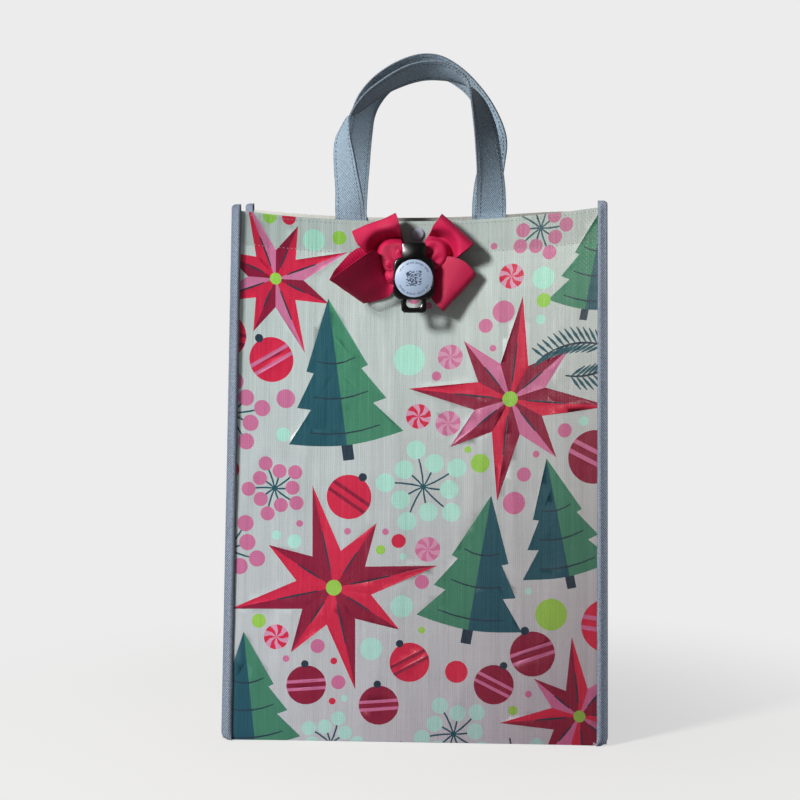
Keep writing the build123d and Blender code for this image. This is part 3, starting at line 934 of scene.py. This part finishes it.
class Stitches:
    """Short threads along a line, each a small spindle that lies in the cloth."""

    def __init__(self):
        self.mesh = bmesh.new()

    def run(self, line, pitch, share=0.62, thick=0.42 * MM, lift=0.12 * MM):
        """line: (point, normal) pairs, close together."""
        travelled, start = 0.0, 0.0
        last = line[0][0]
        for point, normal in line[1:]:
            step = (point - last).length
            travelled += step
            if travelled - start >= pitch:
                along = (point - last).normalized()
                side = normal.cross(along).normalized()
                up = along.cross(side)
                place = Matrix((along, side, up)).transposed().to_4x4()
                place.translation = point + up * lift
                size = Matrix.Diagonal((pitch * share / 2, thick / 2, thick * 0.4, 1))
                bmesh.ops.create_icosphere(self.mesh, subdivisions=1, radius=1, matrix=place @ size)
                start = travelled
            last = point

    def done(self, name, slot, body, material=None):
        return finished(name, self.mesh, body, [material or thread_finish])


for name, side in (("left", -1), ("right", 1)):
    for end_name, end, wall in (("front", -1, "front_wall"), ("back", 1, "back_wall")):
        top = tall + tape_rise
        def fold(u, v, side=side, end=end):
            return tape_point(u, 0.3 * MM + v * (top - 0.3 * MM), side, end)
        mesh = grid(24, 300, 2 * seam_width + 2.6 * MM, 0.404, fold)
        if side * end > 0:
            bmesh.ops.reverse_faces(mesh, faces=mesh.faces)
        tape = finished(f"{end_name}_{name}_tape", mesh, wall, [tape_finish])
        thickened(tape, tape_thick)
        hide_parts(f"{end_name}_{name}_binding")
        seams = Stitches()
        for face in (-0.62, 0.62):
            away = Vector((0, end if face < 0 else -end, 0))
            heights = [4 * MM + k * (tall - 4 * MM) / 900 for k in range(900)]
            seams.run([(tape_point(face, z, side, end), away) for z in heights], 3.0 * MM)
        seams.done(f"{end_name}_{name}_tape_stitches", "binding", wall)

for name, side in (("left", -1), ("right", 1)):
    def fold(u, v, side=side):
        y = (v - 0.5) * 2 * 57.3 * MM
        a = abs(u)
        x = 144.9 * MM - max(0, (a - 0.14) / 0.86) * 7.3 * MM
        x = min(x, 144.9 * MM - drawn_in(y))
        z = (1.2 + (1.1 if u > 0 else -1.1) * min(1, a / 0.14)) * MM
        return slump(Vector((side * x, y, max(0.1 * MM, z))))
    mesh = grid(14, 40, 0.0172, 0.1146, fold)
    if side > 0:
        bmesh.ops.reverse_faces(mesh, faces=mesh.faces)
    tape = finished(f"{name}_base_tape", mesh, "bag_base", [tape_finish])
    thickened(tape, 0.25 * MM, offset=1.0)
    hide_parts(f"{name}_base_binding")

# ---- hem stitching ----
# Two rows of lockstitch in pale thread hold each hem: one just under the mouth's edge, one at
# the fold's end. Each row shows on both faces of the wall.
for name, side, wall in (("front", -1, "front_wall"), ("back", 1, "back_wall")):
    rows = Stitches()
    for down in (2.4 * MM, 24.0 * MM):
        for deep, away in ((-0.05 * MM, -1), (1.0 * MM, 1)):
            line = [
                (hem_point(x * MM, down, side, deep), Vector((0, side * -away, 0)))
                for x in (-136 + 272 * k / 1200 for k in range(1201))
            ]
            rows.run(line, 3.1 * MM)
    rows.done(name + "_hem_stitches", "printed_sheet", wall)

# ---- strap handles ----
# Each handle is one 22 mm twill strap, sewn inside the hem at both ends. Its legs stand flat to
# the wall and it turns over on the way to its arch.
strap_half = 11.0 * MM
strap_thick = 1.2 * MM
hinge = Vector((0, -24.4655, 395.3205)) * MM
lean = radians(10)


def through(stations, f):
    """A smooth curve through stations, f from 0 to 1."""
    n = len(stations) - 1
    k = min(int(f * n), n - 1)
    t = f * n - k
    picks = [stations[max(0, min(n, k + i))] for i in (-1, 0, 1, 2)]
    return [
        0.5 * (2 * b + (c - a) * t + (2 * a - 5 * b + 4 * c - d) * t * t + (3 * b - a - 3 * c + d) * t ** 3)
        for a, b, c, d in zip(*picks)
    ]


# x, z and turn (degrees) of the strap's middle
front_stations = (
    (-52, 370, 0), (-52.3, 382, 0), (-52.6, 396, 4), (-53.4, 411.4, 24), (-55.2, 427.3, 35),
    (-56.4, 440.7, 43), (-56.6, 449.7, 53), (-54.9, 459, 70), (-52.9, 465.9, 82), (-50.6, 469.4, 96),
    (-44.7, 475.5, 110), (-36.1, 483.6, 119), (-26.1, 490.8, 123), (-14, 497.3, 130), (-4.1, 501, 134),
    (5.5, 502.7, 135), (16.8, 502.3, 134), (26.6, 498.8, 122), (33.2, 494.6, 110), (37.4, 489.7, 92),
    (41.2, 482.9, 74), (45.2, 473.2, 58), (48.7, 459.6, 44), (50.8, 444.6, 36), (52.2, 430.2, 30),
    (53.4, 413, 15), (53.6, 396, 2), (52.7, 382, 0), (52, 370, 0),
)
back_stations = (
    (-52, 370, 0), (-52.4, 382, 0), (-53.2, 397, 6), (-52.5, 414, 10), (-51.2, 430, 16),
    (-49.4, 447, 28), (-47.4, 461, 36), (-45.4, 473, 40), (-40.6, 484.5, 44), (-31.5, 496, 50),
    (-18.5, 505.5, 54), (-5, 511, 54), (5.6, 512.2, 54), (15.4, 510.2, 56), (27.6, 503.4, 62),
    (38.4, 493.8, 66), (48, 480.5, 62), (54.4, 464, 46), (56.6, 449.6, 30), (54.6, 434, 26),
    (51.4, 416, 18), (50.2, 397, 8), (51.2, 382, 0), (52, 370, 0),
)
foot_turn = 0.07


def strap_line(stations, side, count):
    """Evenly spaced points along a strap: centre, half width across, and its face's normal."""
    raw = [through(stations, k / 1500) for k in range(1501)]
    length = [0.0]
    for a, b in zip(raw, raw[1:]):
        length.append(length[-1] + hypot(b[0] - a[0], b[1] - a[1]))
    made, k = [], 0
    for i in range(count + 1):
        want = length[-1] * i / count
        while k < 1499 and length[k + 1] < want:
            k += 1
        x, z, turn = raw[k]
        ahead, behind = raw[min(1500, k + 12)], raw[max(0, k - 12)]
        tangent = Vector((ahead[0] - behind[0], 0, ahead[1] - behind[1])).normalized()
        across = Vector((-tangent.z, 0, tangent.x)) * cos(radians(turn))
        across += Vector((0, 1, 0)) * sin(radians(turn))
        high = z * MM - hinge.z
        centre = Vector((x * MM, 0, high))
        if high > 0:
            turned = Matrix.Rotation(lean, 3, "X")
            centre, across, tangent = turned @ centre, turned @ across, turned @ tangent
            centre += hinge
        else:
            down = tall - front_dip * 0.87 - z * MM
            centre = hem_point(x * MM, max(0, down), -1, 2.05 * MM)
            centre.x, centre.z = x * MM, z * MM
            across = Vector((across.x, across.x * (-foot_turn if x > 0 else foot_turn), 0))
        face = tangent.cross(across).normalized()
        made.append((centre, across.normalized(), face))
    mirror = Matrix.Diagonal((1, 1 if side < 0 else -1, 1))
    return [tuple(mirror @ v for v in row) for row in made], length[-1] * MM


for name, side, stations, cut in (("front", -1, front_stations, 0.345), ("back", 1, back_stations, 0.36)):
    rows = 190
    line, length = strap_line(stations, side, rows)

    def strap_point(u, v):
        centre, across = line[round(v * rows)][:2]
        return centre + across * (u * strap_half)

    mesh = grid(8, rows, 2 * strap_half, length, strap_point)
    strap = finished(name + "_strap_loop", mesh, None, [strap_finish])
    thickened(strap, strap_thick, offset=0.0)
    seams = Stitches()
    for u in (-0.76, 0.76):
        for face in (-1, 1):
            path = [(c + a * (u * strap_half) + n * (face * 0.62 * MM), n * face) for c, a, n in line]
            dense = [
                (p.lerp(q, k / 6), m.lerp(o, k / 6).normalized())
                for (p, m), (q, o) in zip(path, path[1:]) for k in range(6)
            ]
            seams.run(dense, 3.0 * MM, 0.8, 0.75 * MM, 0.08 * MM)
    seams = seams.done(name + "_strap_stitches", "strap", None, dark_thread)
    for ob in (strap, seams):
        low = Vector((hinge.x, hinge.y * -side, hinge.z - 1 * MM))
        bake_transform(ob)
    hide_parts(name + "_handle", name + "_handle_tails")

# ---- mouth snap ----
# A moulded plastic press stud: a domed cap on each wall's outside, pressed through the hem into
# its half on the inside, a socket in front and a stud at the back.
snap_frame = Matrix.Translation(Vector((-1.5, -23.8, 380)) * MM) @ Matrix(
    ((1, 0, 0, 0), (0, 0.089638, -0.995974, 0), (0, 0.995974, 0.089638, 0), (0, 0, 0, 1))
)


def plastic_finish(name, rgb, rough, grain=0.2, coat=0.0, shine=0.5):
    """Moulded plastic of one colour, with a fine grain and faint clouding."""
    f = Finish(name)
    where = f.node("ShaderNodeTexCoord", output=3)
    fine = f.noise(where, 1400, 4.0, 0.7)
    wide = f.noise(where, 110, 3.0, 0.5)
    shade = 0.92 + wide * 0.16
    tone = f.mix(1.0, colour(*rgb), f.node("ShaderNodeCombineColor", [shade, shade, shade]), "MULTIPLY")
    return f.surface(
        Base_Color=tone, Roughness=rough + (wide - 0.5) * 0.14 + (fine - 0.5) * 0.06, Coat_Weight=coat,
        Coat_Roughness=0.08, Normal=f.bump(fine, 0.00004, grain), Specular_IOR_Level=shine,
    )


snap_finish = plastic_finish("snap_plastic", (170, 175, 194), 0.34)


def lathe(name, profile, frame, body, finish, sides=48):
    """A turned piece: (radius, height) profile in millimetres about the frame's Z."""
    mesh = bmesh.new()
    line = [mesh.verts.new((r * MM, 0, h * MM)) for r, h in profile]
    edges = [mesh.edges.new(pair) for pair in zip(line, line[1:])]
    bmesh.ops.spin(
        mesh, geom=line + edges, axis=(0, 0, 1), angle=2 * pi, steps=sides, use_merge=True, dvec=(0, 0, 0),
    )
    bmesh.ops.remove_doubles(mesh, verts=mesh.verts, dist=0.001 * MM)
    bmesh.ops.recalc_face_normals(mesh, faces=mesh.faces)
    mesh.transform(frame)
    return finished(name, mesh, body, [finish])


cap_profile = (
    (0, -0.9), (1.0, -0.9), (1.0, 0.13), (4.4, 0.13), (4.65, 0.3), (4.65, 0.75), (4.5, 1.15), (4.1, 1.45),
    (3.4, 1.66), (2.4, 1.75), (1.3, 1.74), (0.8, 1.68), (0.65, 1.6), (0.5, 1.72), (0, 1.85),
)
socket_profile = (
    (1.05, -1.1), (4.0, -1.1), (4.4, -1.3), (4.4, -3.1), (4.1, -3.4), (2.3, -3.45), (2.02, -3.25),
    (2.02, -2.3), (1.05, -2.25), (1.05, -1.1),
)
stud_profile = (
    (1.05, -1.1), (4.0, -1.1), (4.4, -1.3), (4.4, -2.0), (4.1, -2.22), (1.75, -2.25), (1.45, -2.5),
    (1.5, -3.0), (1.68, -3.4), (1.5, -3.75), (1.0, -3.83), (0, -3.83),
)
mirror_y = Matrix.Diagonal((1, -1, 1, 1))
for name, side, body in (("front", -1, "front_wall"), ("back", 1, "back_wall")):
    place = snap_frame if side < 0 else mirror_y @ snap_frame
    cap = lathe(name + "_cap", cap_profile, place, body, snap_finish)
    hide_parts(name + "_snap_cap")
socket = lathe("front_socket", socket_profile, snap_frame, "front_wall", snap_finish)
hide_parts("front_snap_socket")
stud = lathe("back_stud", stud_profile, mirror_y @ snap_frame, "back_wall", snap_finish)
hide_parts("back_snap_stud")
for name in ("bow_socket", "bow_socket_washer", "bow_stud"):
    press = bpy.data.objects[name].data
    press.materials.clear()
    press.materials.append(snap_finish)

# ---- ribbon bow ----
# Two lengths of 38 mm crimson grosgrain gathered at the middle, each making two loops. The bow
# hangs on its own press stud behind the tag.
bow_frame = Matrix.Translation(Vector((-4, -25.8, 357.8)) * MM) @ Matrix(
    ((1, 0, 0, 0), (0, 0.089583, -0.995979, 0), (0, 0.995979, 0.089583, 0), (0, 0, 0, 1))
)


def grosgrain_finish():
    """Ribbed ribbon: ribs across its width, with painted shade in the grooves between them, and darker along
    the selvedges.
    """
    f = Finish("grosgrain")
    u, v = f.split(f.flat())
    rib = ((v / (1.4 * MM) * pi).math("SINE")).math("ABSOLUTE").math("POWER", 0.7)
    warp = ((u / (1.1 * MM) * pi).math("SINE")).math("ABSOLUTE")
    edge = ((u.math("ABSOLUTE") - 17.2 * MM) / (0.8 * MM)).math("MAXIMUM", 0.0).math("MINIMUM", 1.0)
    cloud = f.noise(f.flat(), 55, 3.0, 0.55)
    # painted shade: the grooves between the ribs take the dark tone
    tone = f.mix(rib * 0.7 + warp * 0.3, colour(104, 0, 20), colour(206, 22, 80))
    shade = 0.93 + (cloud - 0.5) * 0.2 - edge * 0.14
    tone = f.mix(1.0, tone, f.node("ShaderNodeCombineColor", [shade, shade, shade]), "MULTIPLY")
    return f.surface(
        Base_Color=tone, Roughness=0.5 + (cloud - 0.5) * 0.16, Normal=f.bump(rib + warp * 0.3, 0.00028, 0.65),
        Sheen_Weight=0.08, Sheen_Roughness=0.35, Sheen_Tint=(1, 0.4, 0.6, 1), Specular_IOR_Level=0.25,
    )


ribbon_finish = grosgrain_finish()


def ribbon(name, stations, folds, depth, seed, node, dent=(0.5, 0.5, 0)):
    """A loop of ribbon through stations, each one edge's point then the other's (mm, bow frame).
    folds pleats of the given depth gather it at both ends. dent is a crease across the front layer:
    its place at mid width, its place at the selvedges, and its depth."""
    def place(u, v):
        s = through(stations, v)
        a, b = Vector(s[:3]), Vector(s[3:])
        after = Vector(through(stations, min(1, v + 0.01))[:3])
        before = Vector(through(stations, max(0, v - 0.01))[:3])
        out = (b - a).cross(after - before)
        out = out.normalized() if out.length > 1e-9 else Vector((0, 0, 1))
        near_root = max(0, 1 - min(v, 1 - v) / 0.3)
        waver = 0.15 * noise.noise(Vector((v * 6, seed, 0)))
        pleat = depth * near_root ** 1.3 * sin(pi * folds * (u + waver))
        slack = 0.8 * noise.noise(Vector((u * 1.3, v * 6, seed)))
        p = a.lerp(b, (u + 1) / 2) + out * (pleat + slack)
        crease = (v - dent[0] - (dent[1] - dent[0]) * u * u) / 0.055
        p.z -= dent[2] * exp(-crease * crease)
        return bow_frame @ (p * MM)

    selvedge = [Vector(through(stations, k / 60)[:3]) * MM for k in range(61)]
    length = sum((b - a).length for a, b in zip(selvedge, selvedge[1:]))
    ob = finished(name, grid(26, 110, 37 * MM, length, place), "bow", [ribbon_finish])
    thickened(ob, 0.5 * MM, offset=0.0)
    if node:
        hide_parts(node)
    return ob


ribbon("upper_left_loop", (
    (-3, -8, 9, -3, 6, 9), (-8, -9, 12, -6, 9, 13), (-15, -8, 14.5, -8, 12, 15), (-22, -4, 15, -9, 15, 15),
    (-28.5, 2, 15.5, -9.8, 18, 15.5), (-32.5, 5.5, 16.5, -10, 20.8, 16.5),
    (-37, 8.6, 18.5, -10.3, 24.6, 18.5), (-42.5, 14, 20.5, -11.5, 30, 21),
    (-45.6, 21, 18.5, -13.3, 35.3, 18.5), (-46.3, 23.6, 13, -13.9, 36.9, 13),
    (-45, 22, 7, -13.2, 35.6, 7), (-40, 12, 4, -11, 28, 4), (-25, 2, 4, -8, 16, 4),
    (-8, -3, 5, -5, 8, 5), (-3, -5, 7, -2, 5, 7),
), 3, 2.0, 1.0, "bow_ribbon_low", (0.44, 0.3, 9.5))
ribbon("lower_right_loop", (
    (2, 4, 7, 3, -6, 7), (8, 5, 10.5, 7, -11, 10.5), (20, 5, 13, 11, -22, 12.5), (30, 4, 14.5, 14, -28, 14.5),
    (38, 0.5, 15, 17.5, -32, 15), (44.5, -6.5, 13.5, 20.8, -35.2, 13.5), (46, -8.4, 9.5, 21.8, -36.4, 9.5),
    (45, -8, 5.5, 21, -35.6, 5.5), (36, 0, 3.6, 15, -29, 3.4), (20, 4, 3.2, 9, -20, 3.2),
    (6, 5, 4.5, 5, -9, 4.5), (1, 5, 6, 2, -6, 6),
), 3, 1.4, 2.0, None)
ribbon("upper_right_loop", (
    (2, -6, 9, -1, 6, 9), (8, -6, 12.5, 2, 9, 12.5), (16, -4.5, 15, 6, 13, 15), (22, -2, 15, 8.5, 17, 15),
    (28, 1, 15.5, 11, 21, 15.5), (32.5, 4.5, 17, 13, 24, 17), (37, 8, 19, 15.2, 28, 19),
    (41.5, 11.5, 20.5, 18.5, 33, 20.5), (44, 14.2, 17, 20.2, 35.8, 17),
    (44.3, 14.8, 12, 20.5, 36.2, 12), (42.5, 12.4, 7.5, 19.6, 34.8, 7.5),
    (33, 5, 5, 14.5, 29, 5), (19, -1, 5.5, 10, 20, 5.5), (9, -4, 6, 3, 9, 6), (1, -4, 8, -2, 5, 8),
), 3, 1.8, 3.0, None, (0.4, 0.27, 8.5))
ribbon("lower_left_loop", (
    (-7, 6, 8, -7, -8, 8), (-20, 12, 8, -16, -16, 7), (-42.3, 11.2, 9, -26, -24, 5.5),
    (-57, -3, 15, -36, -28.6, 5.5), (-60.8, -10.6, 28, -37.4, -30, 7),
    (-61.7, -13.8, 35, -37.6, -30.2, 10), (-59.6, -12.4, 37.5, -36.4, -30, 12.5),
    (-54, -8.3, 37, -33, -29.5, 11.5), (-41, 1.2, 32, -26, -27.4, 10), (-30, 8.8, 23, -20, -25.4, 9),
    (-25, 5, 12, -16.5, -22, 11), (-17, 3, 9, -11, -17, 12), (-8, 2, 9, -7, -7, 9.5),
), 3, 1.2, 4.0, "bow_ribbon_high")


def knot_point(u, v):
    """The gathered middle: pleats that spread from under the tag, with their rim tucked in."""
    a = radians(92 + 150 * v)
    reach = 5 + 13.5 * (u + 1) / 2 * (1 - 0.12 * sin(a * 3 + 1))
    crown = 14.8 - 7.5 * max(0, u) ** 2.4
    pleat = 3.4 * (abs(sin(a * 3.6 + 0.5)) - 0.6) * min(1, 0.45 + (u + 1) / 2)
    return bow_frame @ (Vector((-6.5 + reach * cos(a), -3 + 1.02 * reach * sin(a), crown + pleat)) * MM)


knot = finished("knot", grid(20, 90, 22 * MM, 37 * MM, knot_point), "bow", [ribbon_finish])
thickened(knot, 0.5 * MM, offset=0.0)

# ---- tag ----
# A moulded, polished holder with a tab above and a D loop below, and a disc pressed into its face.
# The disc's print is a square of random cells between two arcs of short strokes.
tag_finish = plastic_finish("polished_black", (3, 3, 4), 0.26, 0.05, 0.2, 0.35)
disc_finish = plastic_finish("disc_blue", (146, 163, 186), 0.4, 0.1, 0.0)
mark_finish = plastic_finish("disc_marks", (52, 62, 84), 0.4, 0.1)
tag_low = 17.25
tag_drop = 12.0


def rounded(width, height, radius, count=10):
    """Outline of a rounded rectangle, anticlockwise."""
    out = []
    for cx, cy, start in ((1, 1, 0), (-1, 1, 1), (-1, -1, 2), (1, -1, 3)):
        for k in range(count + 1):
            a = (start + k / count) * pi / 2
            across = cx * (width / 2 - radius) + radius * cos(a)
            out.append((across, cy * (height / 2 - radius) + radius * sin(a)))
    return out


def moulded(mesh, outlines, close=True):
    """Skins a stack of outlines, each a list of points. Its ends are capped, or joined to each other
    when close is off."""
    rings = [[mesh.verts.new(p) for p in o] for o in outlines]
    n = len(rings[0])
    for a, b in zip(rings, rings[1:]):
        for k in range(n):
            mesh.faces.new((a[k], a[(k + 1) % n], b[(k + 1) % n], b[k]))
    if close:
        mesh.faces.new(rings[0][::-1])
        mesh.faces.new(rings[-1])
    else:
        for k in range(n):
            mesh.faces.new((rings[-1][k], rings[-1][(k + 1) % n], rings[0][(k + 1) % n], rings[0][k]))


def ring_at(width, height, radius, z, y=0.0):
    outline = rounded(width, height, radius)
    return [(x * MM, (v + y - tag_drop) * MM, (tag_low + z) * MM) for x, v in outline]


holder = bmesh.new()
disc_seat = 14.25
quarters = [(s + k / 10) * pi / 2 for s in range(4) for k in range(11)]


def circle_at(z, r):
    return [(r * cos(a) * MM, (r * sin(a) - tag_drop) * MM, (tag_low + z) * MM) for a in quarters]


moulded(holder, [
    ring_at(27.5, 28.7, 5, 0), ring_at(30.1, 31.3, 6, 0.5), ring_at(30.5, 31.7, 6.2, 1.2),
    ring_at(30.5, 31.7, 6.2, 3.3), ring_at(30.2, 31.4, 6.1, 4.1), ring_at(29.6, 30.8, 6.0, 4.7),
    ring_at(29.2, 30.4, 6.4, 5.0), circle_at(5.0, 14.5), circle_at(4.9, disc_seat),
    circle_at(3.85, disc_seat),
])
tab_rise = 19.9
moulded(holder, [
    ring_at(17.3, 13.2, 2, 1.2, tab_rise), ring_at(17.7, 13.6, 2, 1.5, tab_rise),
    ring_at(17.7, 13.6, 2, 3.8, tab_rise), ring_at(17.0, 12.9, 1.8, 4.2, tab_rise),
])
loop_wide, loop_high, loop_y = 18.7, 12.2, -19.4
hole_wide, hole_high, hole_y = 11.5, 7.6, -18.0
moulded(holder, [
    ring_at(loop_wide - 0.8, loop_high - 0.8, 3, 1.2, loop_y),
    ring_at(loop_wide, loop_high, 3.2, 1.6, loop_y),
    ring_at(loop_wide, loop_high, 3.2, 3.7, loop_y),
    ring_at(loop_wide - 0.8, loop_high - 0.8, 3, 4.1, loop_y),
    ring_at(hole_wide + 0.6, hole_high + 0.6, 4.0, 4.1, hole_y),
    ring_at(hole_wide, hole_high, 3.7, 3.7, hole_y),
    ring_at(hole_wide, hole_high, 3.7, 1.6, hole_y),
    ring_at(hole_wide + 0.6, hole_high + 0.6, 4.0, 1.2, hole_y),
], close=False)
holder.transform(bow_frame)
bmesh.ops.recalc_face_normals(holder, faces=holder.faces)
holder = finished("tag_body", holder, "bow", [tag_finish])
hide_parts("tag_holder")
disc_profile = ((0, 3.9), (14.0, 3.9), (14.1, 4.1), (14.1, 4.8), (13.9, 4.95), (0, 4.97))
hung = bow_frame @ Matrix.Translation(Vector((0, -tag_drop, tag_low)) * MM)
disc = lathe("tag_face", disc_profile, hung, "bow", disc_finish, 72)
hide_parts("tag_disc")
marks = bmesh.new()
cells = random.Random(11)


def mark(x, y, width, height, turn=0.0):
    """A printed bar, centred at x, y on the disc."""
    place = hung @ Matrix.Translation(Vector((x, y, 4.98)) * MM) @ Matrix.Rotation(turn, 4, "Z")
    size = Matrix.Diagonal((width * MM, height * MM, 0.06 * MM, 1))
    bmesh.ops.create_cube(marks, size=1, matrix=place @ size)


cell = 0.75
for i in range(-7, 8):
    for j in range(-7, 8):
        if cells.random() < 0.5:
            mark(i * cell, j * cell, cell, cell)
stroke_ring = 11.7
for k in range(66):
    a = 2 * pi * k / 66
    if abs(sin(a)) > 0.42 and k % 7 != 2:
        mark(stroke_ring * cos(a), stroke_ring * sin(a), 1.5 - 0.5 * (k % 3 == 1), 0.34 + 0.22 * (k % 2), a)
finished("tag_marks", marks, "bow", [mark_finish], smooth=False)
